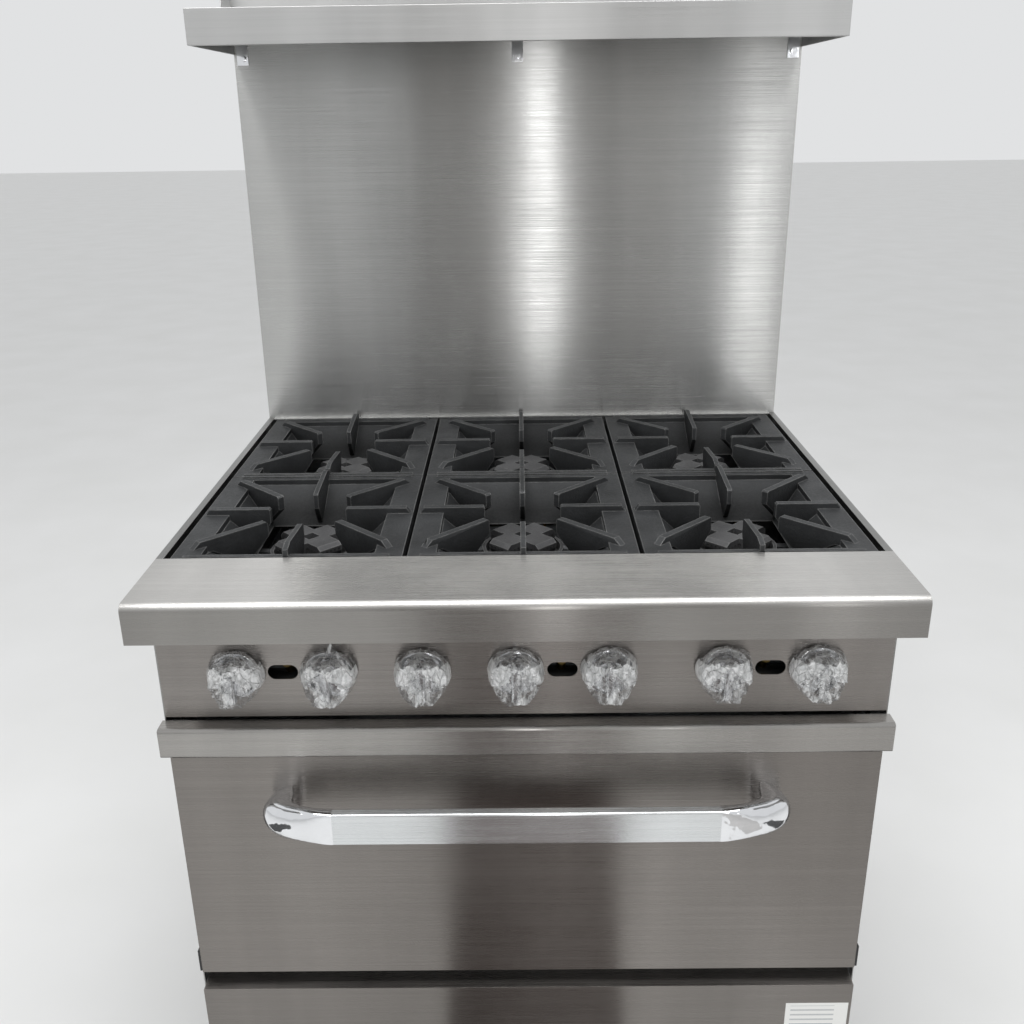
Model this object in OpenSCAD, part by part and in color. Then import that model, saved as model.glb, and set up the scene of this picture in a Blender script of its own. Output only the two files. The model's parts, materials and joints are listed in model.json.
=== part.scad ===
// Commercial gas range: six open burners over one oven, with a riser and a high shelf.
// Millimetres. +X is to the right, +Y to the rear and +Z up. The origin is on the floor,
// at the middle of the footprint.

/* [Body] */
// Width over the side panels
body_w = 914; // [904:1:924]
// Depth from the front of the ledge to the end of the gas inlet
overall_d = 852; // [844:1:860]
// Height of the front ledge above the floor
cooktop_h = 920; // [912:1:928]
// Height of the legs
leg_h = 152; // [144:1:158]
// Thickness of the sheet metal
sheet = 1.5; // [1.2:0.1:2]

/* [Ledge and control panel] */
// Depth of the ledge in front of the control panel
ledge_reach = 87; // [80:1:90]
// Height of the ledge's front face
ledge_h = 50; // [46:1:54]
// Radius of the ledge's rounded front edge
ledge_nose = 10; // [6:1:14]
// Height of the control panel
panel_h = 148; // [144:1:152]
// Distance between neighbouring knobs
knob_pitch = 116; // [112:1:116]
// Extra distance between the fifth and the sixth knob
knob_gap = 26; // [20:1:26]
// Diameter of a knob's skirt
knob_d = 63; // [54:1:66]
// Width of a pilot slot
slot_w = 38; // [30:1:40]

/* [Door and handle] */
// Width of the oven door
door_w = 898; // [890:1:898]
// Height of the oven door
door_h = 348; // [344:1:350]
// Thickness of the oven door
door_t = 38; // [34:1:38]
// Length of the flat handle bar
handle_l = 486; // [440:2:500]
// Height of the flat handle bar
handle_h = 45; // [36:1:48]
// Distance from the door's face to the front of the handle
handle_reach = 64; // [56:1:64]

/* [Oven] */
// Width of the oven cavity
oven_w = 660; // [640:2:664]
// Height of the oven cavity
oven_h = 300; // [290:1:302]
// Thickness of the oven's insulation
insulation_t = 40; // [25:1:45]

/* [Grates and burners] */
// Width of one grate
grate_w = 290; // [284:1:291]
// Depth of one grate
grate_d = 314; // [308:1:315]
// Distance between grate columns
column_pitch = 296; // [296:1:297]
// Distance between the two grate rows
row_pitch = 318; // [318:1:319]
// Radius of a burner's base disc
burner_r = 57; // [50:1:60]

/* [Riser and shelf] */
// Depth of the riser's flue box
riser_d = 57; // [50:1:60]
// Height of the shelf above the floor
shelf_h = 1572; // [1500:1:1600]
// Height of the shelf's front lip
shelf_lip = 47; // [40:1:50]
// Depth of the shelf from the riser's face
shelf_d = 258; // [240:1:280]
// Height of the upstand at the rear of the shelf
upstand_h = 45; // [30:1:50]

/* [Hidden] */
$fn = 48;

// Main planes across the width
half_w = body_w / 2;
inner_w = half_w - sheet;

// Main planes from front to rear
front_y = -overall_d / 2;
panel_y = front_y + ledge_reach;
ledge_back = panel_y + 47;
inlet_reach = 16;
rear_y = overall_d / 2 - inlet_reach;
riser_y = rear_y - riser_d;
door_y = panel_y - 22;
door_back = door_y + door_t;
frame_t = 2;
frame_y = door_back + 5;
kick_y = panel_y - 28;
trim_y = panel_y - 26;
oven_front = frame_y + frame_t;
oven_back = 290;

// Main levels
panel_top = cooktop_h - ledge_h;
panel_bottom = panel_top - panel_h;
trim_top = panel_bottom - 4;
trim_h = 40;
door_top = trim_top - trim_h - 2;
door_bottom = door_top - door_h;
kick_top = door_bottom - 25;
oven_floor = door_bottom + 28;
oven_top = oven_floor + oven_h;
rim_z = cooktop_h;
rim_w = 9.5;
seat_z = cooktop_h - 24;
shelf_bottom = shelf_h - shelf_lip;

// Door hinge axis
hinge_y = (door_y + door_back) / 2;
hinge_z = door_bottom + 12;
hinge_pin_r = 5;
running_gap = 0.05;
arm_x = 400;
arm_hook = [arm_x, hinge_y + 56, hinge_z + 6];
spring_x = arm_x + 8;
spring_anchor_y = 34;

// Knobs, valves and burners
knob_z = panel_top - 85;
knob_x = [for (i = [0:6]) -3 * knob_pitch - 11 + knob_pitch * i + (i > 4 ? knob_gap : 0)];
oven_knob = 2;
burner_knobs = [[0, 1], [3, 4], [5, 6]];
pilot_x = [for (pair = burner_knobs) (knob_x[pair[0]] + knob_x[pair[1]]) / 2];
stem_r = 4;
manifold_r = 13;
inlet_r = 13.35;
manifold_y = panel_y + 43;
manifold_z = knob_z - 33;
inlet_x = 430;
valve_front = panel_y + 17;
valve_back = valve_front + 34;
gas_line_y = valve_back + 26;
column_x = [-column_pitch, 0, column_pitch];
row_y = [ledge_back + 2 + grate_d / 2, ledge_back + 2 + grate_d / 2 + row_pitch];
burner_z = cooktop_h - 74;

// Legs and feet
leg_x = 395;
leg_y = [-262, 335];

// Oven racks
guide_levels = [64, 124, 184, 244];
guide_t = 3;
rack_rod_r = 4;
rack_w = oven_w - 28;
rack_back = oven_back - 6;
rack_d = 546;

steel = "#9b9a97";
bright = "#d5d6d8";
iron = "#3a3a3b";
galvanised = "#a9adb0";
brass = "#b8963e";
wool = "#d8cfae";
dark = "#4a4a4a";

// A box between two opposite corners
module bar(low, high) {
    translate(low) cube(high - low);
}

// The children and their mirror image across the middle plane
module both_sides() {
    children();
    mirror([1, 0, 0]) children();
}

// The children and their mirror image across the front-to-rear plane
module both_ends() {
    children();
    mirror([0, 1, 0]) children();
}

// A round rod between two points
module rod(p, q, r) {
    d = q - p;
    translate(p) rotate([0, acos(d.z / norm(d)), atan2(d.y, d.x)]) cylinder(r = r, h = norm(d));
}

// A round rod along Y
module y_rod(x, y0, y1, z, r) {
    translate([x, y0, z]) rotate([-90, 0, 0]) cylinder(r = r, h = y1 - y0);
}

// A round rod along X
module x_rod(x0, x1, y, z, r) {
    translate([x0, y, z]) rotate([0, 90, 0]) cylinder(r = r, h = x1 - x0);
}

// A plate in the YZ plane, from an outline of [y, z] points
module side_plate(x, t, outline) {
    translate([x, 0, 0]) rotate([90, 0, 90]) linear_extrude(t) polygon(outline);
}

// ---------- Cabinet ----------

module side_sheet() {
    difference() {
        bar([inner_w, panel_y, leg_h], [half_w, rear_y, rim_z]);
        bar([inner_w - 1, panel_y - 1, panel_top], [half_w + 1, ledge_back, rim_z + 1]);
    }
    bar([half_w - rim_w, ledge_back, rim_z - sheet], [half_w, riser_y, rim_z]);
}

module side_panel_left() { color(steel) mirror([1, 0, 0]) side_sheet(); }
module side_panel_right() { color(steel) side_sheet(); }

rear_screw_x = [-430, 0, 405];
rear_screw_z = [leg_h + 14, 860];

module rear_panel() {
    color(galvanised) difference() {
        bar([-inner_w, rear_y - sheet, leg_h], [inner_w, rear_y, rim_z]);
        y_rod(inlet_x, rear_y - 5, rear_y + 5, manifold_z, manifold_r + 4);
        for (x = [-3:3], z = [0:5])
            bar([x * 110 - 35, rear_y - 5, 220 + z * 22], [x * 110 + 35, rear_y + 5, 228 + z * 22]);
        for (x = rear_screw_x, z = rear_screw_z) y_rod(x, rear_y - 5, rear_y + 5, z, 2.5);
    }
}

leg_bolt_spread = 34;

module leg_bolt_places() {
    for (s = [-1, 1], y = leg_y, b = [-1, 1]) translate([s * leg_x, y + b * leg_bolt_spread, 0]) children();
}

module base_frame() {
    rail_h = 30;
    rail_t = 3;
    flange_w = 50;
    color(dark) difference() {
        union() {
            difference() {
                bar([-inner_w, oven_front, leg_h], [inner_w, rear_y - sheet, leg_h + rail_h]);
                bar([-inner_w + rail_t, oven_front + rail_t, leg_h + rail_t],
                    [inner_w - rail_t, rear_y - sheet - rail_t, leg_h + rail_h + 1]);
                bar([-inner_w + flange_w, oven_front + flange_w, leg_h - 1],
                    [inner_w - flange_w, rear_y - sheet - flange_w, leg_h + rail_t + 1]);
            }
            for (s = [-1, 1], y = leg_y)
                bar([s * leg_x - 52, y - 50, leg_h], [s * leg_x + 52, y + 50, leg_h + rail_t]);
            both_sides() spring_post(rail_t);
        }
        leg_bolt_places() translate([0, 0, leg_h - 1]) cylinder(r = 4, h = rail_t + 2);
        both_sides() y_rod(spring_x, spring_anchor_y - 1, spring_anchor_y + 4, arm_hook.z, 2.5);
        for (x = rear_screw_x) y_rod(x, rear_y - 10, rear_y, rear_screw_z[0], 2.5);
    }
}

// An upright on the base rail that holds the rear end of a door spring
module spring_post(t) {
    bar([spring_x - 10, spring_anchor_y, leg_h + t], [spring_x + 10, spring_anchor_y + 3, arm_hook.z + 12]);
    bar([spring_x - 10, spring_anchor_y - 12, leg_h + t - 0.5],
        [inner_w - t, spring_anchor_y + 12, leg_h + 2 * t]);
}

module front_frame() {
    color(galvanised) difference() {
        bar([-inner_w, frame_y, leg_h], [inner_w, oven_front, panel_bottom]);
        bar([-oven_w / 2, frame_y - 1, oven_floor], [oven_w / 2, oven_front + 1, oven_top]);
        bar([-300, frame_y - 1, leg_h + 40], [300, oven_front + 1, kick_top - 20]);
        bar([-inner_w + 12, frame_y - 1, trim_top - trim_h],
            [inner_w - 12, oven_front + 1, panel_bottom + 1]);
        both_sides() bar([arm_x - 6, frame_y - 1, hinge_z - 10], [arm_x + 6, oven_front + 1, hinge_z + 66]);
    }
}

module kick_plate() {
    half = door_w / 2;
    color(steel) difference() {
        bar([-half, kick_y, leg_h], [half, frame_y, kick_top]);
        bar([-half + sheet, kick_y + sheet, leg_h + sheet], [half - sheet, frame_y + 1, kick_top - sheet]);
        bar([-half + sheet, kick_y + 30, leg_h - 1], [half - sheet, frame_y + 1, leg_h + 5]);
    }
}

module control_panel() {
    color(steel) difference() {
        bar([-inner_w, panel_y, panel_bottom], [inner_w, valve_front - 1, panel_top]);
        bar([-inner_w + sheet, panel_y + sheet, panel_bottom + sheet],
            [inner_w - sheet, valve_front, panel_top - sheet]);
        for (x = knob_x) y_rod(x, panel_y - 1, panel_y + 5, knob_z, 7);
        for (x = pilot_x) pilot_slot(x);
    }
}

// A slot with round ends through the control panel
module pilot_slot(x) {
    slot_r = 10;
    reach = slot_w / 2 - slot_r;
    bar([x - reach, panel_y - 1, knob_z - slot_r], [x + reach, panel_y + 5, knob_z + slot_r]);
    for (s = [-1, 1]) y_rod(x + s * reach, panel_y - 1, panel_y + 5, knob_z, slot_r);
}

// Cross-section of the ledge as [y, z], drawn inwards by an amount
module ledge_section(inset) {
    r = ledge_nose - inset;
    low = [front_y + inset, panel_top + inset];
    high = [ledge_back - inset, cooktop_h - inset];
    translate([front_y + ledge_nose, cooktop_h - ledge_nose]) circle(r = r);
    translate([front_y + ledge_nose, low.y]) square([high.x - front_y - ledge_nose, high.y - low.y]);
    translate(low) square([ledge_nose - inset + 1, cooktop_h - ledge_nose - low.y]);
}

module front_ledge() {
    color(bright) rotate([90, 0, 90]) {
        translate([0, 0, -half_w + sheet]) linear_extrude(body_w - 2 * sheet) difference() {
            ledge_section(0);
            ledge_section(sheet);
        }
        for (x = [-half_w, half_w - sheet]) translate([0, 0, x]) linear_extrude(sheet) ledge_section(0);
    }
}

module cooktop_frame() {
    plate_t = 6;
    skirt_h = 16;
    color(dark) difference() {
        union() {
            bar([-inner_w, ledge_back, seat_z - plate_t], [inner_w, riser_y, seat_z]);
            both_sides()
                bar([inner_w - 3, ledge_back, seat_z - plate_t - skirt_h], [inner_w, riser_y, seat_z]);
        }
        for (x = column_x, y = row_y)
            bar([x - grate_w / 2 + 13, y - grate_d / 2 + 12, seat_z - plate_t - 1],
                [x + grate_w / 2 - 13, y + grate_d / 2 - 12, seat_z + 1]);
    }
}

// ---------- Riser and shelf ----------

module riser_front() {
    top = shelf_h - 2;
    base_lip = 9;
    color(steel) {
        bar([-half_w, riser_y, rim_z], [half_w, riser_y + sheet, top]);
        bar([-inner_w, riser_y, seat_z - 6], [inner_w, riser_y + sheet, rim_z]);
        bar([-half_w + rim_w, riser_y - base_lip, rim_z - sheet], [half_w - rim_w, riser_y, rim_z]);
        both_sides() bar([inner_w, riser_y, rim_z], [half_w, rear_y, top]);
    }
}

module riser_rear() {
    top = shelf_h - 2;
    color(galvanised) {
        bar([-inner_w, rear_y - sheet, rim_z], [inner_w, rear_y, top]);
        difference() {
            bar([-inner_w, riser_y + sheet, top - sheet], [inner_w, rear_y, top]);
            for (i = [-5:5]) bar([i * 78 - 32, riser_y + 14, top - 5], [i * 78 + 32, rear_y - 14, top + 1]);
        }
    }
}

module high_shelf() {
    shelf_y = riser_y - shelf_d;
    hem = 12;
    color(steel) {
        difference() {
            bar([-half_w, shelf_y, shelf_bottom], [half_w, riser_y, shelf_h]);
            bar([-inner_w, shelf_y + sheet, shelf_bottom - 1], [inner_w, riser_y + 1, shelf_h - sheet]);
        }
        bar([-inner_w, shelf_y, shelf_bottom], [inner_w, shelf_y + hem, shelf_bottom + sheet]);
        bar([-half_w, riser_y - sheet, shelf_h - sheet], [half_w, riser_y, shelf_h + upstand_h]);
        both_sides() side_plate(inner_w, sheet, [
            [riser_y - 62, shelf_h - sheet], [riser_y, shelf_h - sheet],
            [riser_y, shelf_h + upstand_h], [riser_y - 50, shelf_h + upstand_h],
        ]);
    }
}

module shelf_brackets() {
    color(bright) for (x = [-half_w + 14, 0, half_w - 14]) {
        bar([x - 9, riser_y - 3, shelf_bottom - 16], [x + 9, riser_y, shelf_h - sheet]);
        bar([x - 9, riser_y - 26, shelf_h - sheet - 3], [x + 9, riser_y - 3, shelf_h - sheet]);
        y_rod(x, riser_y - 9, riser_y - 3, shelf_bottom - 6, 5);
    }
}

// ---------- Gas train ----------

module gas_manifold() {
    fitting_r = 17;
    cap_l = 18;
    color(dark) difference() {
        union() {
            x_rod(-440, inlet_x, manifold_y, manifold_z, manifold_r);
            y_rod(inlet_x, manifold_y, overall_d / 2, manifold_z, manifold_r);
            y_rod(inlet_x, overall_d / 2 - 26, overall_d / 2, manifold_z, inlet_r);
            translate([inlet_x, manifold_y, manifold_z]) sphere(r = fitting_r);
            x_rod(-440, -440 + cap_l, manifold_y, manifold_z, fitting_r);
        }
        y_rod(inlet_x, manifold_y + 40, overall_d / 2 + 1, manifold_z, manifold_r - 3);
        for (x = concat(knob_x, pilot_x))
            translate([x, manifold_y, manifold_z + 3]) cylinder(r = 6, h = 30);
    }
}

// A gas cock: body, inlet nipple, front collar and orifice hood
module valve_body(x, w, h) {
    difference() {
        union() {
            bar([x - w / 2, valve_front, knob_z - 12], [x + w / 2, valve_back, knob_z - 12 + h]);
            y_rod(x, valve_front - 8, valve_front, knob_z, 8);
            translate([x, manifold_y, manifold_z + 3]) cylinder(r = 6, h = knob_z - 12 - manifold_z - 2);
        }
        y_rod(x, valve_front - 10, valve_back - 8, knob_z, stem_r + running_gap);
    }
}

module burner_valves() {
    color(brass) for (pair = burner_knobs, k = pair) {
        valve_body(knob_x[k], 24, 24);
        y_rod(knob_x[k], valve_back, valve_back + 14, knob_z, 6);
    }
}

module oven_thermostat() {
    x = knob_x[oven_knob];
    color(galvanised) {
        valve_body(x, 46, 40);
        y_rod(x + 12, valve_back, valve_back + 12, knob_z, 6);
    }
}

// One burner: base disc with a rim, four lobes, a neck and a mixing tube from its valve
module burner(place, feed_x) {
    top = burner_z + 38;
    tube_r = 14;
    mouth = [feed_x, valve_back + 10, knob_z];
    neck = [place.x, place.y, burner_z - 46];
    aim = (neck - mouth) / norm(neck - mouth);
    difference() {
        union() {
            rod(mouth, neck, tube_r);
            rod(mouth, mouth + aim * 26, tube_r + 5);
            translate(neck) sphere(r = tube_r + 6);
            translate(neck) cylinder(r = tube_r + 6, h = 47);
            translate([place.x, place.y, burner_z]) {
                cylinder(r = burner_r, h = 6);
                difference() {
                    cylinder(r = burner_r, h = 20);
                    translate([0, 0, 6]) cylinder(r = burner_r - 5, h = 15);
                }
                for (a = [45:90:315]) rotate([0, 0, a]) burner_lobe(top - burner_z);
                cylinder(r = 13, h = 26);
            }
        }
        rod(mouth - aim * 8, mouth + aim * 22, 11);
    }
}

// A lobe of the burner's head: a leaning block with a chamfered upper edge
module burner_lobe(h) {
    translate([9, 0, 0]) rotate([90, 0, 0]) linear_extrude(36, center = true)
        polygon([[0, 4], [26, 4], [38, h - 12], [38, h - 5], [32, h], [0, h]]);
}

module front_burners() {
    color(iron) for (i = [0:2]) burner([column_x[i], row_y[0]], knob_x[burner_knobs[i][0]]);
}

module rear_burners() {
    color(iron) for (i = [0:2]) burner([column_x[i], row_y[1]], knob_x[burner_knobs[i][1]]);
}

// Standing pilots between the rows, each fed by an adjusting valve behind a slot
module pilot_burners() {
    tube_r = 2.5;
    z = knob_z + 34;
    pilot_y = (row_y[0] + row_y[1]) / 2;
    color(brass) for (i = [0:2]) {
        path = [
            [pilot_x[i], manifold_y, knob_z + 10],
            [pilot_x[i], manifold_y, z],
            [column_x[i] + 34, manifold_y + 62, z],
            [column_x[i] + 34, pilot_y, z],
            [column_x[i] + 34, pilot_y, z + 50],
        ];
        translate([pilot_x[i], manifold_y, manifold_z + 3]) cylinder(r = 6, h = knob_z - manifold_z + 8);
        y_rod(pilot_x[i], manifold_y - 22, manifold_y, knob_z, 5);
        for (k = [1:4]) rod(path[k - 1], path[k], tube_r);
        for (k = [1:3]) translate(path[k]) sphere(r = tube_r + 1);
        translate(path[4] - [0, 0, 14]) cylinder(r = 5, h = 14);
    }
}

module burner_rails() {
    color(galvanised) for (y = row_y, s = [-1, 1])
        difference() {
            bar([-inner_w, y + s * 40 - 7, burner_z - 14], [inner_w, y + s * 40 + 7, burner_z]);
            bar([-inner_w - 1, y + s * 40 - 5, burner_z - 15], [inner_w + 1, y + s * 40 + 5, burner_z - 2]);
        }
}

// ---------- Oven ----------

tray_half = inner_w - 19;
tray_bottom = trim_top - trim_h + 6;
tray_back = 330;

module tray_runners() {
    color(galvanised) both_sides() side_runner();
}

// An angle that carries one side of the tray, notched for the oven's gas line
module side_runner() {
    difference() {
        bar([tray_half - 14, oven_front, tray_bottom - 2], [inner_w, tray_back + 20, tray_bottom]);
        bar([tray_half + 1, gas_line_y - 9, tray_bottom - 3],
            [inner_w - 2, gas_line_y + 9, tray_bottom + 1]);
    }
    bar([inner_w - 2, oven_front, tray_bottom - 2], [inner_w, tray_back + 20, tray_bottom + 22]);
}

module oven_liner() {
    half = oven_w / 2;
    color(galvanised) difference() {
        bar([-half - sheet, oven_front, oven_floor - 10],
            [half + sheet, oven_back + sheet, oven_top + sheet]);
        bar([-half, oven_front - 1, oven_floor - 11], [half, oven_back, oven_top]);
        bar([-200, oven_back - 5, oven_top - 40], [200, oven_back + 5, oven_top - 20]);
    }
}

module oven_deck() {
    half = oven_w / 2;
    color(galvanised) difference() {
        bar([-half, oven_front, oven_floor - sheet], [half, oven_back, oven_floor]);
        for (x = [25 - half, half - 25], y = [-240:80:240])
            bar([x - 6, y - 25, oven_floor - 5], [x + 6, y + 25, oven_floor + 5]);
    }
}

module oven_insulation() {
    half = oven_w / 2 + sheet;
    color(wool) difference() {
        bar([-half - insulation_t, oven_front, oven_floor - 10],
            [half + insulation_t, oven_back + sheet + insulation_t, oven_top + sheet + 20]);
        bar([-half, oven_front - 1, oven_floor - 11], [half, oven_back + sheet, oven_top + sheet]);
        bar([-200, oven_back, oven_top - 40], [200, oven_back + sheet + insulation_t + 1, oven_top - 20]);
    }
}

module rack_guides() {
    color(bright) both_sides() {
        for (z = guide_levels)
            bar([oven_w / 2 - 18, -290, oven_floor + z - guide_t],
                [oven_w / 2, oven_back - 10, oven_floor + z]);
        for (y = [-250, 230])
            bar([oven_w / 2 - 3, y, oven_floor + 24], [oven_w / 2, y + 20, oven_floor + 270]);
    }
}

// A wire rack whose frame rests on the guides at one level
module oven_rack(level) {
    z = oven_floor + guide_levels[level] + rack_rod_r;
    half = rack_w / 2 - rack_rod_r;
    front = rack_back - rack_d;
    color(bright) {
        both_sides() y_rod(half, front, rack_back, z, rack_rod_r);
        for (y = [front + 4, (front + rack_back) / 2, rack_back - 4])
            x_rod(-half, half, y, z, rack_rod_r - 0.5);
        for (i = [-7:7]) y_rod(i * 38, front + 4, rack_back - 4, z + 0.5, 2.5);
    }
}

module oven_rack_lower() { oven_rack(1); }
module oven_rack_upper() { oven_rack(2); }

oven_burner_z = 246;

module oven_burner() {
    color(galvanised) {
        difference() {
            union() {
                y_rod(0, -250, 260, oven_burner_z, 17);
                y_rod(0, -276, -250, oven_burner_z, 24);
            }
            y_rod(0, -277, -256, oven_burner_z, 14);
        }
        bar([-60, 240, leg_h + 30], [60, 243, oven_burner_z + 20]);
        bar([-60, 240, leg_h + 30], [60, rear_y - sheet - 3, leg_h + 33]);
        difference() {
            bar([-300, -290, oven_floor - 42], [300, 270, oven_floor - 40]);
            for (x = [-260, 260]) bar([x - 20, -240, oven_floor - 45], [x + 20, 220, oven_floor - 35]);
        }
        both_sides() bar([298, -290, oven_floor - 42], [300, 270, oven_floor - 10]);
    }
}

// The oven's safety valve and the line that feeds it from the thermostat
module oven_safety_valve() {
    r = 5;
    outlet = [knob_x[oven_knob] + 12, valve_back + 12, knob_z];
    run_z = panel_bottom + 12;
    side_x = -tray_half - 10;
    valve = [-80, gas_line_y, oven_burner_z];
    route = [
        outlet, [outlet.x, gas_line_y, outlet.z], [outlet.x, gas_line_y, run_z],
        [side_x, gas_line_y, run_z], [side_x, gas_line_y, valve.z], [-32, gas_line_y, valve.z],
    ];
    color(brass) {
        for (k = [1:5]) rod(route[k - 1], route[k], r);
        for (k = [1:4]) translate(route[k]) sphere(r = r + 2);
        bar(valve - [30, 22, 24], valve + [30, 22, 24]);
    }
}

// ---------- Door hinges and springs ----------

module hinge_bracket() {
    gap = (inner_w - door_w / 2);
    plate = [door_w / 2 + 1.5, inner_w - 1];
    bar([plate[0], hinge_y - 12, hinge_z - 16], [plate[1], frame_y, hinge_z + 18]);
    bar([plate[0], hinge_y + 19, hinge_z - 16], [plate[1], frame_y, hinge_z + 60]);
    x_rod(door_w / 2 - 21, plate[0] + gap / 4, hinge_y, hinge_z, hinge_pin_r);
}

module hinge_brackets() { color(dark) both_sides() hinge_bracket(); }

// An extension spring as its coil body and two end hooks
module door_spring() {
    wire_r = 2;
    coil_r = 9;
    coil = [-238, 8];
    y_rod(spring_x, coil[0], coil[1], arm_hook.z, coil_r);
    y_rod(spring_x, arm_hook.y, coil[0], arm_hook.z, wire_r);
    x_rod(arm_hook.x - 6, spring_x, arm_hook.y, arm_hook.z, wire_r);
    translate([spring_x, arm_hook.y, arm_hook.z]) sphere(r = wire_r);
    y_rod(spring_x, coil[1], spring_anchor_y + 7, arm_hook.z, wire_r);
    x_rod(spring_x - 8, spring_x + 8, spring_anchor_y + 7, arm_hook.z, wire_r);
}

module door_spring_left() { color(dark) mirror([1, 0, 0]) door_spring(); }
module door_spring_right() { color(dark) door_spring(); }

// ---------- Legs and feet ----------

module legs() {
    tube_r = 25;
    plug_z = 45;
    color(bright) for (s = [-1, 1], y = leg_y) translate([s * leg_x, y, 0]) difference() {
        union() {
            translate([0, 0, plug_z]) cylinder(r = tube_r, h = leg_h - plug_z);
            bar([-45, -45, leg_h - 4], [45, 45, leg_h]);
        }
        translate([0, 0, plug_z + 15]) cylinder(r = tube_r - 2, h = leg_h - plug_z - 19);
        translate([0, 0, plug_z - 1]) cylinder(r = 6 + running_gap, h = 30);
        for (b = [-1, 1]) translate([0, b * leg_bolt_spread, leg_h - 5]) cylinder(r = 4, h = 6);
    }
}

module foot(s, row) {
    color(bright) translate([s * leg_x, leg_y[row], 0]) {
        cylinder(r1 = 15, r2 = 19, h = 12);
        translate([0, 0, 12]) cylinder(r = 19, h = 28);
        translate([0, 0, 40]) cylinder(r = 6, h = 72);
    }
}

// ---------- Fasteners ----------

module panel_screws() {
    color(bright) {
        for (x = rear_screw_x, z = rear_screw_z) {
            y_rod(x, rear_y - 8, rear_y, z, 2.5);
            y_rod(x, rear_y, rear_y + 3, z, 5);
        }
        leg_bolt_places() {
            translate([0, 0, leg_h - 4]) cylinder(r = 4, h = 16);
            translate([0, 0, leg_h - 9]) cylinder(r = 7.5, h = 5, $fn = 6);
        }
    }
}

// ---------- Oven door ----------

module door_outer_panel() {
    half = door_w / 2;
    skin = door_back - sheet;
    color(steel) difference() {
        union() {
            difference() {
                bar([-half, door_y, door_bottom], [half, skin, door_top]);
                bar([-half + sheet, door_y + sheet, door_bottom + sheet],
                    [half - sheet, skin + 1, door_top - sheet]);
            }
            both_sides()
                bar([half - 22, hinge_y - 9, hinge_z - 9], [half - sheet, hinge_y + 9, hinge_z + 9]);
        }
        both_sides() x_rod(half - 23, half + 1, hinge_y, hinge_z, hinge_pin_r + running_gap);
    }
}

module door_inner_panel() {
    half = door_w / 2;
    color(galvanised) bar([-half, door_back - sheet, door_bottom], [half, door_back, door_top]);
}

module door_insulation() {
    half = door_w / 2 - sheet;
    color(wool) difference() {
        bar([-half, door_y + sheet, door_bottom + sheet], [half, door_back - sheet, door_top - sheet]);
        both_sides() bar([half - 24, door_y, door_bottom], [half + 1, door_back, hinge_z + 12]);
    }
}

module door_gasket() {
    half = oven_w / 2;
    depth = frame_y - door_back - 0.4;
    color(dark) difference() {
        bar([-half - 18, door_back, oven_floor - 12], [half + 18, door_back + depth, oven_top + 14]);
        bar([-half - 4, door_back - 1, oven_floor - 2], [half + 4, door_back + depth + 1, oven_top + 4]);
    }
}

handle_z = door_top - 66;
handle_front = door_y - handle_reach + 2;
handle_t = 14;

module handle_bar() {
    edge_r = 3;
    l = handle_l - 8;
    y = [handle_front, handle_front + handle_t];
    z = [handle_z - handle_h / 2, handle_z + handle_h / 2];
    color(bright) {
        bar([-l / 2, y[0], z[0] + edge_r], [l / 2, y[1], z[1] - edge_r]);
        bar([-l / 2, y[0] + edge_r, z[0]], [l / 2, y[1] - edge_r, z[1]]);
        for (a = [y[0] + edge_r, y[1] - edge_r], b = [z[0] + edge_r, z[1] - edge_r])
            x_rod(-l / 2, l / 2, a, b, edge_r);
    }
}

elbow_w = 87;
elbow_back = door_y - 27;
arm_w = 19;

// A quarter of an ellipse from the bar's end round to one side of the elbow, as [x, y] points
function elbow_arc(w, front) = [
    for (a = [0:7.5:90]) [handle_l / 2 - 4 + w * sin(a), elbow_back + (front - elbow_back) * cos(a)]
];

module handle_brackets() {
    rise = handle_h / 2 + 1;
    outer_root = handle_l / 2 - 4 + elbow_w - 10;
    outer = elbow_arc(elbow_w, handle_front);
    inner = elbow_arc(elbow_w - 33, handle_front + handle_t);
    root = [
        [outer_root + 6, door_y - 13], [outer_root, door_y], [outer_root - arm_w, door_y],
        [outer_root - arm_w - 3, door_y - 13],
    ];
    color(bright) both_sides() translate([0, 0, handle_z - rise]) linear_extrude(2 * rise)
        polygon(concat(outer, root, [for (i = [len(inner) - 1:-1:0]) inner[i]]));
}

module door_spring_arms() {
    y0 = door_back;
    color(dark) both_sides() difference() {
        union() {
            bar([arm_x - 14, y0, hinge_z + 5], [arm_x + 14, y0 + 3, hinge_z + 50]);
            side_plate(arm_x - 3, 6, [
                [y0 + 2, hinge_z + 5], [arm_hook.y + 6, hinge_z], [arm_hook.y + 6, hinge_z + 12],
                [y0 + 14, hinge_z + 20], [y0 + 2, hinge_z + 40],
            ]);
        }
        x_rod(arm_x - 8, arm_x + 8, arm_hook.y, arm_hook.z, 2.6);
    }
}

// ---------- Crumb tray ----------

module crumb_tray() {
    rim = tray_bottom + 28;
    front = trim_y + 25;
    color(galvanised) difference() {
        bar([-tray_half, front, tray_bottom], [tray_half, tray_back, rim]);
        bar([-tray_half + sheet, front + sheet, tray_bottom + sheet],
            [tray_half - sheet, tray_back - sheet, rim + 1]);
    }
}

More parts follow.
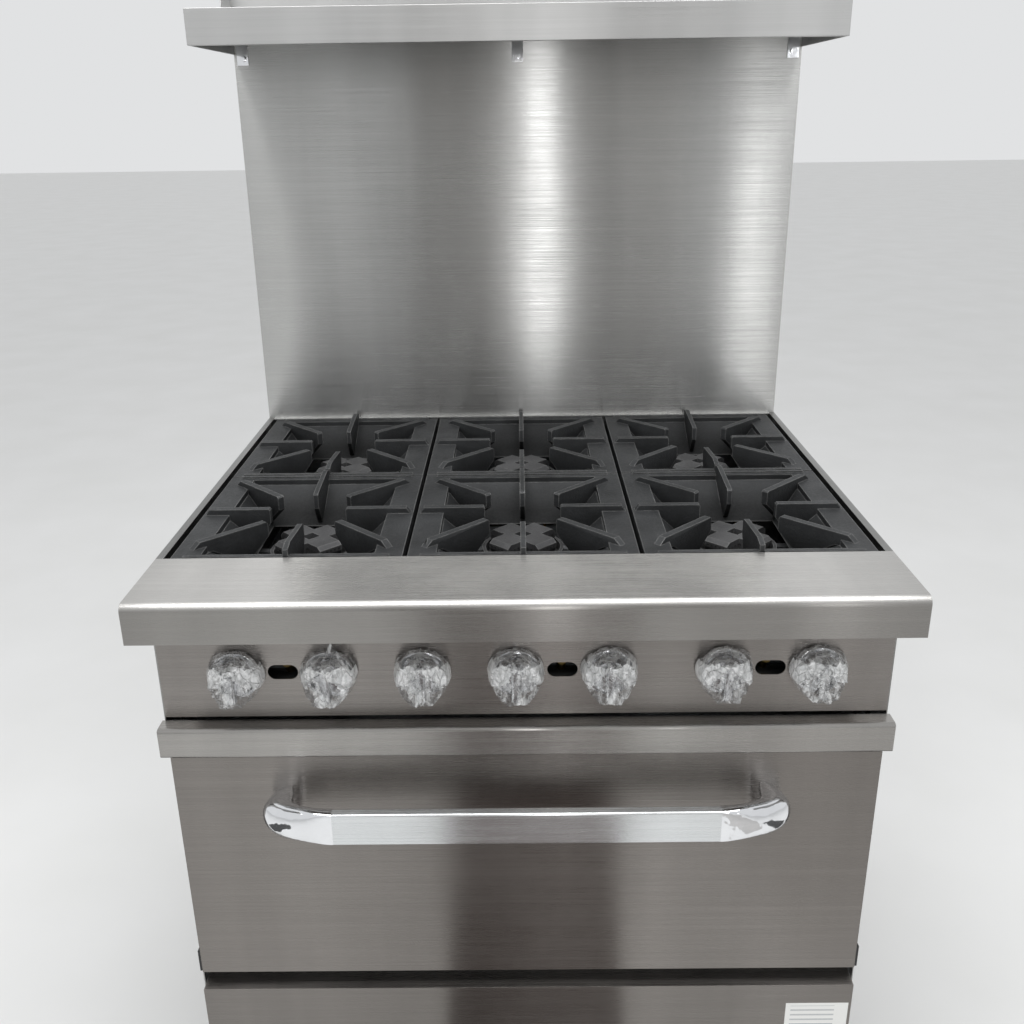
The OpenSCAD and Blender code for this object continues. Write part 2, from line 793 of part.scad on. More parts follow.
module crumb_tray_front() {
    half = half_w + 3;
    r = 5;
    low = [trim_y, trim_top - trim_h];
    high = [trim_y + 25, trim_top];
    color(bright) translate([-half, 0, 0]) rotate([90, 0, 90]) linear_extrude(2 * half) difference() {
        union() {
            translate([low.x + r, low.y]) square([high.x - low.x - r, high.y - low.y]);
            translate([low.x, low.y + 2]) square([r + 1, high.y - r - low.y - 2]);
            translate([low.x + 2, low.y]) square([r, 4]);
            translate([low.x + r, high.y - r]) circle(r = r);
            translate([low.x + 2, low.y + 2]) circle(r = 2);
        }
        translate([low.x + sheet, low.y + sheet])
            square([high.x - low.x - 2 * sheet, high.y - low.y - 2 * sheet - 2]);
    }
}

// ---------- Grates ----------

flange_w = 36;
rail_w = 14;
grate_top = seat_z + 30;
flange_top = seat_z + 22;
flange_low = seat_z + 14;
bowl_bottom = seat_z - 24;
bowl_hole = 66;
bowl_t = 4;

// A four-sided funnel between two levels, widened by an amount
module funnel(grow, up, down) {
    mouth = [grate_w / 2 - flange_w + grow, grate_d / 2 - rail_w + grow];
    hole = bowl_hole + grow;
    hull() {
        translate([0, 0, flange_low + up]) cube([2 * mouth.x, 2 * mouth.y, 0.01], center = true);
        translate([0, 0, bowl_bottom - down]) cube([2 * hole, 2 * hole, 0.01], center = true);
    }
}

// A blade of the grate: an upright plate along a radius, from an outline of [radius, z] points
module blade(angle, t, outline) {
    rotate([90, 0, angle]) linear_extrude(t, center = true) polygon(outline);
}

module grate_casting() {
    half = [grate_w / 2, grate_d / 2];
    top = grate_top;
    wall_x = half.x - flange_w;
    wall_y = half.y - rail_w;
    difference() {
        union() {
            difference() {
                bar([-half.x, -half.y, seat_z], [half.x, half.y, flange_top]);
                bar([-half.x + 6, -half.y + 6, seat_z - 1], [half.x - 6, half.y - 6, flange_low]);
            }
            funnel(bowl_t, 1, 0);
            both_ends()
                bar([-half.x + 16, half.y - 6, flange_low], [half.x - 16, half.y, flange_top + 2.5]);
        }
        funnel(0, 1, 1);
        bar([-wall_x, -wall_y, flange_low], [wall_x, wall_y, flange_top + 5]);
    }
    both_sides() blade(0, 10, [
        [52, top - 20], [52, top - 2], [54, top], [half.x - 9, top], [half.x - 3, flange_top - 1],
        [half.x - 3, flange_low + 1], [wall_x, flange_low - 1], [bowl_hole + 8, bowl_bottom + 6],
    ]);
    both_ends() blade(90, 7, [
        [55, top - 22], [56, top - 2], [60, top], [half.y - 18, top + 7], [half.y, top + 3],
        [half.y, flange_low + 1], [wall_y, flange_low - 1], [bowl_hole + 8, bowl_bottom + 5],
    ]);
    for (a = [45:90:315]) blade(a, 10, [
        [68, top - 20], [68, top - 2], [70, top], [168, top], [180, flange_top - 1],
        [180, flange_low + 1], [wall_x * sqrt(2) - 2, flange_low - 1],
        [bowl_hole * sqrt(2) + 9, bowl_bottom + 6],
    ]);
}

module grate(column, row) { color(iron) translate([column_x[column], row_y[row], 0]) grate_casting(); }

// ---------- Knobs ----------

// A knob with its skirt, grip and valve stem, turning about Y
module knob(k) {
    skirt_y = panel_y - 2;
    color(bright) {
        y_rod(knob_x[k], skirt_y - 7, skirt_y, knob_z, knob_d / 2);
        translate([knob_x[k], skirt_y - 7, knob_z]) rotate([90, 0, 0]) cylinder(r1 = 26, r2 = 21, h = 18);
        translate([knob_x[k] - 6, skirt_y - 36, knob_z - 25]) cube([12, 30, 50]);
        y_rod(knob_x[k], skirt_y - 2, valve_back - 9, knob_z, stem_r);
    }
}

side_panel_left();
side_panel_right();
rear_panel();
base_frame();
front_frame();
kick_plate();
control_panel();
front_ledge();
cooktop_frame();
riser_front();
riser_rear();
high_shelf();
shelf_brackets();
gas_manifold();
burner_valves();
oven_thermostat();
front_burners();
rear_burners();
pilot_burners();
burner_rails();
tray_runners();
oven_liner();
oven_deck();
oven_insulation();
rack_guides();
oven_burner();
oven_safety_valve();
hinge_brackets();
door_spring_left();
door_spring_right();
legs();
panel_screws();
door_outer_panel();
door_inner_panel();
door_insulation();
door_gasket();
handle_bar();
handle_brackets();
door_spring_arms();
crumb_tray();
crumb_tray_front();
oven_rack_upper();
oven_rack_lower();
grate(0, 0);  // grate_front_left
grate(1, 0);  // grate_front_center
grate(2, 0);  // grate_front_right
grate(0, 1);  // grate_rear_left
grate(1, 1);  // grate_rear_center
grate(2, 1);  // grate_rear_right
knob(0);  // knob_1
knob(1);  // knob_2
knob(2);  // knob_3_oven
knob(3);  // knob_4
knob(4);  // knob_5
knob(5);  // knob_6
knob(6);  // knob_7
foot(-1, 0);  // foot_front_left
foot(1, 0);  // foot_front_right
foot(-1, 1);  // foot_rear_left
foot(1, 1);  // foot_rear_right
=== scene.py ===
"""Looks for the commercial gas range: materials, fine pieces, light and camera around the CAD frame."""
import json
import math
import random

import bmesh
import bpy
from mathutils import Matrix, Vector, noise


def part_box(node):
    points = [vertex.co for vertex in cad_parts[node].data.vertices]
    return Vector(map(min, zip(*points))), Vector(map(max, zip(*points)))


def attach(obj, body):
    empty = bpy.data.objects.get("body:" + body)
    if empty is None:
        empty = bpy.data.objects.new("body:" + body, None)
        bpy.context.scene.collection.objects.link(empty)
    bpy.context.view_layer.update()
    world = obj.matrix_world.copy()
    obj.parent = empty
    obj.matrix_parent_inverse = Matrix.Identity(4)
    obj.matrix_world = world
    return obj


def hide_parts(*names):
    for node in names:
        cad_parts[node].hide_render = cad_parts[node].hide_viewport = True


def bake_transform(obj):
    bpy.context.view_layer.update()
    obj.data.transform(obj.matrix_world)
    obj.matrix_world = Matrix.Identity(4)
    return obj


MM = 0.001

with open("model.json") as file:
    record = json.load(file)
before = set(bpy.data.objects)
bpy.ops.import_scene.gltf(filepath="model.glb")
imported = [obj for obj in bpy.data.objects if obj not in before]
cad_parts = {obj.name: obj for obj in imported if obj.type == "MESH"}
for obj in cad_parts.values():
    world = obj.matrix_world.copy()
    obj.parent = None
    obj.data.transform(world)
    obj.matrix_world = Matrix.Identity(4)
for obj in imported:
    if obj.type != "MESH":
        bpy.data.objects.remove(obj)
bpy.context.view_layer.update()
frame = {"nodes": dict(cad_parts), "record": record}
nodes = frame["nodes"]


# ---------- Camera ----------

PITCH, YAW, ROLL = 20.834, -0.505, 0.810  # degrees
CAMERA_PLACE = (-0.0028, -1.4875, 1.432)
SENSOR_WIDTH = 36  # mm
FOCAL_LENGTH = 36.87  # mm


def photo_camera():
    """The photograph's own viewpoint, a little below the shelf and looking down at the cooktop."""
    pitch, yaw, roll = (math.radians(a) for a in (PITCH, YAW, ROLL))
    s, c = math.sin(yaw), math.cos(yaw)
    level_right = Vector((c, -s, 0))
    level_up = Vector((s * math.sin(pitch), c * math.sin(pitch), math.cos(pitch)))
    forward = Vector((s * math.cos(pitch), c * math.cos(pitch), -math.sin(pitch)))
    right = math.cos(roll) * level_right - math.sin(roll) * level_up
    up = math.sin(roll) * level_right + math.cos(roll) * level_up
    turn = Matrix((right, up, -forward)).transposed().to_4x4()
    camera = bpy.data.objects.new("photo_camera", bpy.data.cameras.new("photo_camera"))
    camera.data.sensor_width = SENSOR_WIDTH
    camera.data.lens = FOCAL_LENGTH
    camera.matrix_world = Matrix.Translation(CAMERA_PLACE) @ turn
    bpy.context.collection.objects.link(camera)
    bpy.context.scene.camera = camera


photo_camera()


# ---------- Materials ----------

class Shader:
    """A Principled material and short calls that add nodes to it."""

    def __init__(self, name, roughness=0.5, metallic=0.0, **sockets):
        self.material = bpy.data.materials.new(name)
        self.material.use_nodes = True
        self.tree = self.material.node_tree
        self.bsdf = self.tree.nodes["Principled BSDF"]
        self.bsdf.inputs["Roughness"].default_value = roughness
        self.bsdf.inputs["Metallic"].default_value = metallic
        for key, value in sockets.items():
            self.bsdf.inputs[key.replace("_", " ")].default_value = value

    def node(self, kind, inputs=(), **settings):
        made = self.tree.nodes.new("ShaderNode" + kind)
        for key, value in settings.items():
            setattr(made, key, value)
        for key, value in dict(inputs).items():
            if isinstance(value, bpy.types.NodeSocket):
                self.tree.links.new(value, made.inputs[key])
            else:
                made.inputs[key].default_value = value
        return made

    def place(self, scale):
        """The piece's own coordinates in metres, multiplied along each axis."""
        where = self.node("TexCoord").outputs["Object"]
        return self.node("Mapping", {"Vector": where, "Scale": scale}).outputs["Vector"]

    def noise(self, scale, detail=2.0, roughness=0.5):
        """Noise between 0 and 1, with scale in cycles per metre along X, Y and Z."""
        inputs = {"Vector": self.place(scale), "Scale": 1.0, "Detail": detail, "Roughness": roughness}
        return self.node("TexNoise", inputs).outputs["Fac"]

    def cells(self, scale, output, **settings):
        """Voronoi cells, with scale in cells per metre along X, Y and Z."""
        inputs = {"Vector": self.place(scale), "Scale": 1.0}
        return self.node("TexVoronoi", inputs, **settings).outputs[output]

    def spread(self, value, low, high, start=0.25, end=0.75):
        """value, remapped so that start..end becomes low..high."""
        inputs = {"Value": value, "From Min": start, "From Max": end, "To Min": low, "To Max": high}
        return self.node("MapRange", inputs).outputs["Result"]

    def math(self, operation, a, b):
        return self.node("Math", {0: a, 1: b}, operation=operation).outputs["Value"]

    def mix(self, fac, a, b, blend="MIX"):
        """Colour a to colour b by fac; colours are tuples or sockets."""
        # A Mix node's colour sockets have no names of their own: inputs 6 and 7, and output 2
        made = self.node("Mix", data_type="RGBA", blend_type=blend)
        for slot, value in ((0, fac), (6, a), (7, b)):
            if isinstance(value, bpy.types.NodeSocket):
                self.tree.links.new(value, made.inputs[slot])
            else:
                made.inputs[slot].default_value = value if slot == 0 else (*value, 1)
        return made.outputs[2]

    def bump(self, height, distance, strength=1.0, normal=None):
        inputs = {"Height": height, "Distance": distance, "Strength": strength}
        if normal:
            inputs["Normal"] = normal
        return self.node("Bump", inputs).outputs["Normal"]

    def feed(self, socket, value):
        self.tree.links.new(value, self.bsdf.inputs[socket])


def shade(tone, factor):
    """tone made darker or lighter, without passing white."""
    return tuple(min(1, t * factor) for t in tone)


SKEW = 0.003  # keeps the grain off a face's own normal, where it has no direction across
GRAIN = {"X": (1, SKEW, SKEW), "Y": (SKEW, 1, SKEW), "Z": (SKEW, SKEW, 1)}


def stretched(axis, along, across):
    """Noise scales that differ along the grain and across it."""
    return tuple(along if a == 1 else across for a in axis)


def brushed(name, tone, roughness, grain="X", anisotropic=0.8, wave=0.5, streaks=0.12, upright_shade=1.0):
    """Brushed stainless steel, whose fine grain along one axis smears highlights across it.

    wave is the strength of the sheet's swell, streaks that of its bands, and the last argument paints shade
    on its upright faces.
    """
    sh = Shader(name, metallic=1.0, Anisotropic=anisotropic)
    axis = GRAIN[grain]
    hair = sh.noise(stretched(axis, 5, 1500), 3, 0.7)
    lines = sh.noise(stretched(axis, 1.5, 160), 2, 0.6)
    bands = sh.noise(stretched(axis, 9, 0.7), 3, 0.55)
    smudge = sh.noise((4, 4, 4), 4, 0.6)
    body = sh.mix(sh.spread(bands, 0, 1), shade(tone, 1 - streaks), shade(tone, 1 + streaks))
    grained = sh.mix(sh.spread(hair, 0, 0.35), body, shade(tone, 0.72))
    body = sh.mix(sh.spread(lines, 0, 0.18, 0.5, 0.8), grained, shade(tone, 1.3))
    normal = sh.node("NewGeometry").outputs["Normal"]
    # painted shade: upright faces are made darker than faces that look up
    if upright_shade < 1:
        facing = sh.node("SeparateXYZ", {"Vector": normal}).outputs["Z"]
        upright_shade_tone = (upright_shade, upright_shade * 0.985, upright_shade * 0.97)
        body = sh.mix(sh.spread(facing, 1, 0, 0.3, 0.8), body, upright_shade_tone, "MULTIPLY")
    sh.feed("Base Color", body)
    rough = sh.spread(hair, roughness - 0.05, roughness + 0.07)
    sh.feed("Roughness", sh.math("ADD", rough, sh.spread(smudge, -0.03, 0.05)))
    swell = sh.bump(sh.noise((3.2, 3.2, 1.4), 1), 0.004 * wave)
    sh.feed("Normal", sh.bump(hair, 0.00003, 0.6, swell))
    across = sh.node("VectorMath", {0: normal, 1: axis}, operation="CROSS_PRODUCT").outputs["Vector"]
    sh.feed("Tangent", across)
    return sh.material


def chrome(name, tone=(0.86, 0.87, 0.89), roughness=0.07, ripple=0.6):
    """Polished chrome with a faint ripple and a few cloudy patches."""
    sh = Shader(name, metallic=1.0)
    cloud = sh.noise((30, 30, 30), 4, 0.6)
    sh.feed("Base Color", sh.mix(sh.spread(cloud, 0, 0.5), tone, shade(tone, 0.82)))
    sh.feed("Roughness", sh.spread(cloud, roughness, roughness + 0.09))
    sh.feed("Normal", sh.bump(sh.noise((45, 45, 45), 2), 0.0006 * ripple))
    return sh.material


def wear_and_highlight_edges(sh, radius):
    """A mask of convex and concave edges, from how a rounded normal leaves the true one."""
    rounded = sh.node("Bevel", {"Radius": radius}, samples=4).outputs["Normal"]
    true = sh.node("NewGeometry").outputs["Normal"]
    agree = sh.node("VectorMath", {0: rounded, 1: true}, operation="DOT_PRODUCT").outputs["Value"]
    return sh.spread(agree, 1, 0, 0.82, 0.988)


def cast_iron(name, tone=(0.025, 0.026, 0.027), worn=(0.26, 0.26, 0.255), shade_full_below=0.884, shade_gone_above=0.915):
    """Black sand-cast iron, pitted, dusty, and paler at its edges, partly from wear and partly as a painted
    highlight.

    Painted shade darkens its lower hollows: fully below the height in the second-last argument and not at
    all above the height in the last, both in metres.
    """
    sh = Shader(name, metallic=0.35, Specular_IOR_Level=0.45)
    grit = sh.noise((900, 900, 900), 4, 0.7)
    pits = sh.noise((260, 260, 260), 3, 0.6)
    dust = sh.noise((14, 14, 14), 5, 0.65)
    skin = sh.mix(sh.spread(dust, 0, 1, 0.35, 0.7), tone, shade(tone, 1.9))
    height = sh.node("SeparateXYZ", {"Vector": sh.place((1, 1, 1))}).outputs["Z"]
    # painted shade: the iron turns darker lower down, standing in for the shade in the bowls
    painted_depth_shade = sh.spread(height, 1, 0, shade_full_below, shade_gone_above)
    skin = sh.mix(painted_depth_shade, skin, shade(tone, 0.3))
    # paler edges: partly real wear, partly a painted highlight where edges catch the light; the painted
    # shade lower down fades them
    edge = sh.math("MULTIPLY", wear_and_highlight_edges(sh, 0.0026), sh.spread(sh.noise((60, 60, 60), 3), 0.2, 1.0))
    edge = sh.math("MULTIPLY", edge, sh.spread(painted_depth_shade, 1, 0.35, 0, 1))
    sh.feed("Base Color", sh.mix(edge, skin, worn))
    rough = sh.math("ADD", sh.spread(pits, 0.46, 0.62), sh.math("MULTIPLY", painted_depth_shade, 0.2))
    sh.feed("Roughness", sh.math("SUBTRACT", rough, sh.math("MULTIPLY", edge, 0.18)))
    sh.feed("Normal", sh.bump(grit, 0.0004, 0.7, sh.bump(pits, 0.0008, 0.7)))
    return sh.material


def galvanised(name, tone=(0.42, 0.43, 0.44)):
    """Zinc-coated sheet with a flaky spangle."""
    sh = Shader(name, metallic=0.9)
    value = sh.node("RGBToBW", {"Color": sh.cells((110, 110, 110), "Color")}).outputs["Val"]
    sh.feed("Base Color", sh.mix(sh.spread(value, 0, 1, 0.1, 0.9), shade(tone, 0.87), shade(tone, 1.13)))
    sh.feed("Roughness", sh.spread(value, 0.33, 0.5, 0.1, 0.9))
    sh.feed("Normal", sh.bump(sh.noise((8, 8, 8), 3), 0.001))
    return sh.material


def painted(name, tone, roughness=0.45):
    """Matt enamel on steel, with orange-peel and dust."""
    sh = Shader(name, metallic=0.0, Specular_IOR_Level=0.5)
    dust = sh.noise((20, 20, 20), 5, 0.65)
    sh.feed("Base Color", sh.mix(sh.spread(dust, 0, 0.6), tone, tuple(t * 1.8 + 0.01 for t in tone)))
    sh.feed("Roughness", sh.spread(dust, roughness - 0.06, roughness + 0.12))
    sh.feed("Normal", sh.bump(sh.noise((700, 700, 700), 2), 0.0001, 0.6))
    return sh.material


def brass(name, tone=(0.55, 0.40, 0.16)):
    """Dull machined brass with darker tarnish."""
    sh = Shader(name, metallic=1.0)
    tarnish = sh.noise((60, 60, 60), 4, 0.6)
    sh.feed("Base Color", sh.mix(sh.spread(tarnish, 0, 0.8), tone, shade(tone, 0.5)))
    sh.feed("Roughness", sh.spread(tarnish, 0.22, 0.42))
    sh.feed("Normal", sh.bump(sh.noise((900, 900, 900), 2), 0.00005, 0.5))
    return sh.material


def fibre(name, tone, scale):
    """Matted fibres, for mineral wool and woven gasket cord."""
    sh = Shader(name, roughness=0.95, Sheen_Weight=0.3)
    strands = sh.noise((scale, scale * 0.25, scale), 6, 0.75)
    sh.feed("Base Color", sh.mix(sh.spread(strands, 0, 1), shade(tone, 0.6), shade(tone, 1.25)))
    sh.feed("Normal", sh.bump(strands, 0.002, 0.8))
    return sh.material


def clear_film(name, dull, shine, low, high, metallic=0.0):
    """Crinkled clear plastic film that drifts from dull to shine and from low to high opacity; its creases
    are more opaque and carry a painted white highlight.
    """
    gloss = {"Specular_IOR_Level": 1.0, "Coat_Weight": 1.0, "Coat_Roughness": 0.05}
    sh = Shader(name, roughness=0.10, metallic=metallic, **gloss)
    folds = sh.cells((95, 95, 60), "Distance", feature="DISTANCE_TO_EDGE")
    crease_and_highlight_mask = sh.spread(folds, 1, 0, 0.0, 0.06)
    haze = sh.noise((75, 75, 45), 3, 0.65)
    tint = sh.spread(haze, 0, 1, 0.42, 0.58)
    # painted highlight: the crease lines are turned white as if catching the light
    sh.feed("Base Color", sh.mix(crease_and_highlight_mask, sh.mix(tint, dull, shine), (1, 1, 1)))
    opacity = sh.spread(haze, low, high, 0.38, 0.62)
    sh.feed("Alpha", sh.math("ADD", sh.math("MULTIPLY", crease_and_highlight_mask, 0.3), opacity))
    sh.feed("Normal", sh.bump(crease_and_highlight_mask, 0.0014, 1.0, sh.bump(haze, 0.005, 1.0)))
    return sh.material


def paper_label(name, low, high):
    """A white paper label from corner low to corner high, with plain grey bars where print would be."""
    bars, left, right, reach = 7.0, 0.08, 0.78, 0.42
    sh = Shader(name, roughness=0.55)
    where = sh.node("SeparateXYZ", {"Vector": sh.place((1, 1, 1))})
    x = sh.spread(where.outputs["X"], 0, 1, low.x, high.x)
    z = sh.spread(where.outputs["Z"], 0, 1, low.z, high.z)
    rows = sh.math("PINGPONG", sh.math("MULTIPLY", z, bars), 0.5)
    from_middle = sh.math("ABSOLUTE", sh.math("SUBTRACT", z, 0.5), 0)
    ink = sh.math("MULTIPLY", sh.math("GREATER_THAN", rows, 0.34), sh.math("LESS_THAN", x, right))
    ink = sh.math("MULTIPLY", ink, sh.math("GREATER_THAN", x, left))
    ink = sh.math("MULTIPLY", ink, sh.math("LESS_THAN", from_middle, reach))
    speck = sh.noise((900, 60, 900), 2)
    worn = sh.math("MULTIPLY", ink, sh.spread(speck, 0.35, 0.75))
    sh.feed("Base Color", sh.mix(worn, (0.80, 0.80, 0.78), (0.25, 0.27, 0.30)))
    sh.feed("Normal", sh.bump(sh.noise((500, 500, 500), 3), 0.0001, 0.5))
    return sh.material


# One brushed steel given different tones per panel as painted light and shade: the riser and ledge lighter,
# and the control panel, door and kick plate darker and warmer, painting in the reflection of a dark floor
riser_steel = brushed("riser_steel", (0.49, 0.49, 0.48), 0.21, anisotropic=1.0, wave=0.35, streaks=0.16)
shelf_steel = brushed("shelf_steel", (0.50, 0.50, 0.495), 0.32)
ledge_steel = brushed("ledge_steel", (0.55, 0.54, 0.522), 0.25, anisotropic=0.95, wave=0.3, upright_shade=0.60)
panel_steel = brushed("panel_steel", (0.29, 0.272, 0.257), 0.26, anisotropic=0.95, wave=0.4)
door_steel = brushed("door_steel", (0.255, 0.238, 0.223), 0.26, anisotropic=0.95, wave=0.5)
kick_steel = brushed("kick_steel", (0.235, 0.220, 0.206), 0.26, anisotropic=0.95)
trim_steel = brushed("trim_steel", (0.40, 0.387, 0.370), 0.25, anisotropic=0.95, wave=1.4)
side_steel = brushed("side_steel", (0.33, 0.33, 0.32), 0.34, grain="Y")
bar_steel = brushed("bar_steel", (0.76, 0.78, 0.79), 0.24, anisotropic=0.9, wave=0.2, streaks=0.06)
leg_steel = brushed("leg_steel", (0.45, 0.45, 0.44), 0.28, grain="Z", anisotropic=0.4)
plated = chrome("plated_chrome")
knob_chrome = chrome("knob_chrome", roughness=0.05, ripple=1.4)
elbow_chrome = chrome("elbow_chrome", roughness=0.05, ripple=2.2)
rack_chrome = chrome("rack_chrome", tone=(0.70, 0.70, 0.71), roughness=0.15)
iron = cast_iron("grate_iron")
burner_iron = cast_iron("burner_iron", tone=(0.05, 0.05, 0.051), shade_full_below=0.84, shade_gone_above=0.875)
zinc = galvanised("zinc_sheet")
enamel = painted("oven_enamel", (0.045, 0.05, 0.06), 0.25)
# also used as painted shade: the black cones that stand for the burner port holes
black = painted("black_paint_and_port_shade", (0.012, 0.012, 0.012))
spring_wire = painted("spring_wire", (0.06, 0.06, 0.06), 0.3)
yellow_metal = brass("valve_brass")
wool = fibre("mineral_wool", (0.62, 0.55, 0.34), 220)
rope = fibre("gasket_rope", (0.12, 0.12, 0.12), 900)
# Two copies of one clear film: the darker one for the lower folds, and a lit copy, painted near white and
# nearly opaque as a highlight, for the upper folds
film = clear_film("clear_film", (0.20, 0.20, 0.20), (0.97, 0.98, 0.98), 0.25, 0.72, metallic=0.3)
highlight_film = clear_film("highlight_film", (0.84, 0.85, 0.85), (1, 1, 1), 0.80, 1.0)

NODE_MATERIALS = {
    riser_steel: ["riser_front"],
    shelf_steel: ["high_shelf"],
    ledge_steel: ["front_ledge"],
    panel_steel: ["control_panel"],
    door_steel: ["door_outer_panel"],
    kick_steel: ["kick_plate"],
    trim_steel: ["crumb_tray_front"],
    side_steel: ["side_panel_left", "side_panel_right"],
    bar_steel: ["handle_bar"],
    leg_steel: ["legs"] + [n for n in nodes if n.startswith("foot_")],
    plated: ["shelf_brackets", "panel_screws", "handle_brackets"],
    knob_chrome: [n for n in nodes if n.startswith("knob_")],
    rack_chrome: ["rack_guides", "oven_rack_upper", "oven_rack_lower"],
    iron: [n for n in nodes if n.startswith("grate_")],
    burner_iron: ["front_burners", "rear_burners"],
    zinc: ["rear_panel", "riser_rear", "front_frame", "burner_rails", "tray_runners", "crumb_tray",
           "oven_burner", "oven_thermostat"],
    enamel: ["oven_liner", "oven_deck", "door_inner_panel"],
    black: ["base_frame", "cooktop_frame", "gas_manifold", "hinge_brackets", "door_spring_arms",
            "door_spring_left", "door_spring_right"],
    yellow_metal: ["burner_valves", "pilot_burners", "oven_safety_valve"],
    wool: ["oven_insulation", "door_insulation"],
    rope: ["door_gasket"],
}


def finish_nodes():
    """Gives every CAD node its material."""
    for material, names in NODE_MATERIALS.items():
        for name in names:
            mesh = nodes[name].data
            mesh.materials.clear()
            mesh.materials.append(material)


finish_nodes()


# ---------- Mesh helpers ----------

def keep_smooth(obj, angle):
    """Shades smooth below an angle, by marking sharp edges."""
    mesh = obj.data
    mesh.polygons.foreach_set("use_smooth", [True] * len(mesh.polygons))
    bm = bmesh.new()
    bm.from_mesh(mesh)
    for edge in bm.edges:
        edge.smooth = len(edge.link_faces) == 2 and edge.calc_face_angle(0) < math.radians(angle)
    bm.to_mesh(mesh)
    bm.free()


def new_object(name, bm, *materials):
    """Turns a bmesh, in metres, into an object with materials."""
    mesh = bpy.data.meshes.new(name)
    bm.to_mesh(mesh)
    bm.free()
    for material in materials:
        mesh.materials.append(material)
    obj = bpy.data.objects.new(name, mesh)
    bpy.context.collection.objects.link(obj)
    return obj


def new_piece(name, bm, *materials, smooth_below=35):
    """An object with its faces turned outwards, shaded smooth below an angle, or flat where that is None."""
    bmesh.ops.recalc_face_normals(bm, faces=bm.faces)
    obj = new_object(name, bm, *materials)
    if smooth_below:
        keep_smooth(obj, smooth_below)
    return obj


def body_of_node(name):
    return next(body for body, names in frame["record"]["behaviour"]["bodies"].items() if name in names)


def ring_faces(bm, rings):
    """Faces between rings of points; each ring has the same number of points."""
    made = [[bm.verts.new(p) for p in ring] for ring in rings]
    count = len(made[0])
    for a, b in zip(made, made[1:]):
        for i in range(count):
            j = (i + 1) % count
            bm.faces.new((a[i], a[j], b[j], b[i]))
    return made


def ring_solid(bm, rings):
    """A closed skin through rings of points, with its two ends filled."""
    made = ring_faces(bm, rings)
    bm.faces.new(made[0])
    bm.faces.new(made[-1])


def lathe(bm, profile, centre, steps):
    """Turns [radius, y] points round a line along Y through centre."""
    rings = []
    for r, y in profile:
        turn = (2 * math.pi * i / steps for i in range(steps))
        rings.append([Vector((centre.x + r * math.cos(a), y, centre.z + r * math.sin(a))) for a in turn])
    ring_solid(bm, rings)


def rounded_block(bm, low, high, radius, segments=3):
    """A block between two corners, with its edges rolled."""
    made = bmesh.ops.create_cube(bm, size=1)["verts"]
    low, high = Vector(low), Vector(high)
    for v in made:
        v.co = Vector((low[i] + (v.co[i] + 0.5) * (high[i] - low[i]) for i in range(3)))
    edges = list(dict.fromkeys(e for v in made for e in v.link_edges))
    bmesh.ops.bevel(bm, geom=edges, offset=radius, segments=segments, profile=0.5, affect="EDGES")


# ---------- Rolled edges of CAD nodes ----------

CAST_EDGE = 1.2 * MM
SHEET_EDGE = 0.7 * MM


def soften(name, width):
    """Rolls a CAD node's sharp edges with modifiers, which leave its mesh as it is."""
    obj = nodes[name]
    weld = obj.modifiers.new("weld", "WELD")
    weld.merge_threshold = 0.01 * MM
    roll = obj.modifiers.new("roll", "BEVEL")
    roll.width = width
    roll.segments = 2
    roll.limit_method = "ANGLE"
    roll.angle_limit = math.radians(40)
    roll.harden_normals = True
    roll.use_clamp_overlap = True


for name in nodes:
    if name.startswith("grate_"):
        soften(name, CAST_EDGE)
for name in ("high_shelf", "door_outer_panel", "kick_plate", "crumb_tray_front"):
    soften(name, SHEET_EDGE)


# ---------- Knobs and their wrapping film ----------

PANEL_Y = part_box("control_panel")[0].y
KNOBS = [name for name in nodes if name.startswith("knob_")]

# In millimetres. On a knob, u runs to the right and w up from its centre.
GRIP_HALF_WIDTH = 6
GRIP_HALF_LENGTH = 25
FILM_CREST = 43
FILM_RADIUS = 36
FOLD_HEIGHT = 6.5
PLEAT_HEIGHT = 4.4
PLEAT_TOP = 14
RIDGE_HEIGHT = 2.4
RIDGE_WIDTH = 2.2
HEM_HEIGHT = 1.2
LOOSE_TAIL = [(-2, 30, 14), (6, 47, 12), (12, 41, 17), (20, 30, 16), (10, 22, 24)]


def knob_centre(name):
    low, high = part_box(name)
    return Vector(((low.x + high.x) / 2, PANEL_Y, (low.z + high.z) / 2))


def on_knob(centre, u, w, height):
    """The point at u and w on a knob, at a height above the panel."""
    return Vector((centre.x + u * MM, PANEL_Y - height * MM, centre.z + w * MM))


def chrome_knob(name):
    """A turned skirt with a rounded rim, a domed boss, a finger grip with soft edges and the stem behind."""
    low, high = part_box(name)
    c = knob_centre(name)
    rim = (high.x - low.x) / 2 / MM
    back = PANEL_Y - 2 * MM
    profile = [
        (0.5, 0), (rim - 1.5, 0), (rim, 1.5), (rim, 5), (rim - 0.6, 6.4), (rim - 2, 7), (rim - 4.5, 7.2),
        (25, 9), (23.5, 16), (22, 21), (18, 24), (9, 25.5), (0.5, 26),
    ]
    bm = bmesh.new()
    lathe(bm, [(radius * MM, back - height * MM) for radius, height in profile], c, 64)
    reach = Vector((GRIP_HALF_WIDTH, 0, GRIP_HALF_LENGTH)) * MM
    grip_low, grip_high = c - reach, c + reach
    grip_low.y, grip_high.y = low.y, back - 8 * MM
    rounded_block(bm, grip_low, grip_high, 2.4 * MM)
    lathe(bm, [(4 * MM, back - 1 * MM), (4 * MM, high.y)], c, 16)
    obj = new_piece(name + "_chrome", bm, knob_chrome)
    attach(obj, body_of_node(name))
    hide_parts(name)


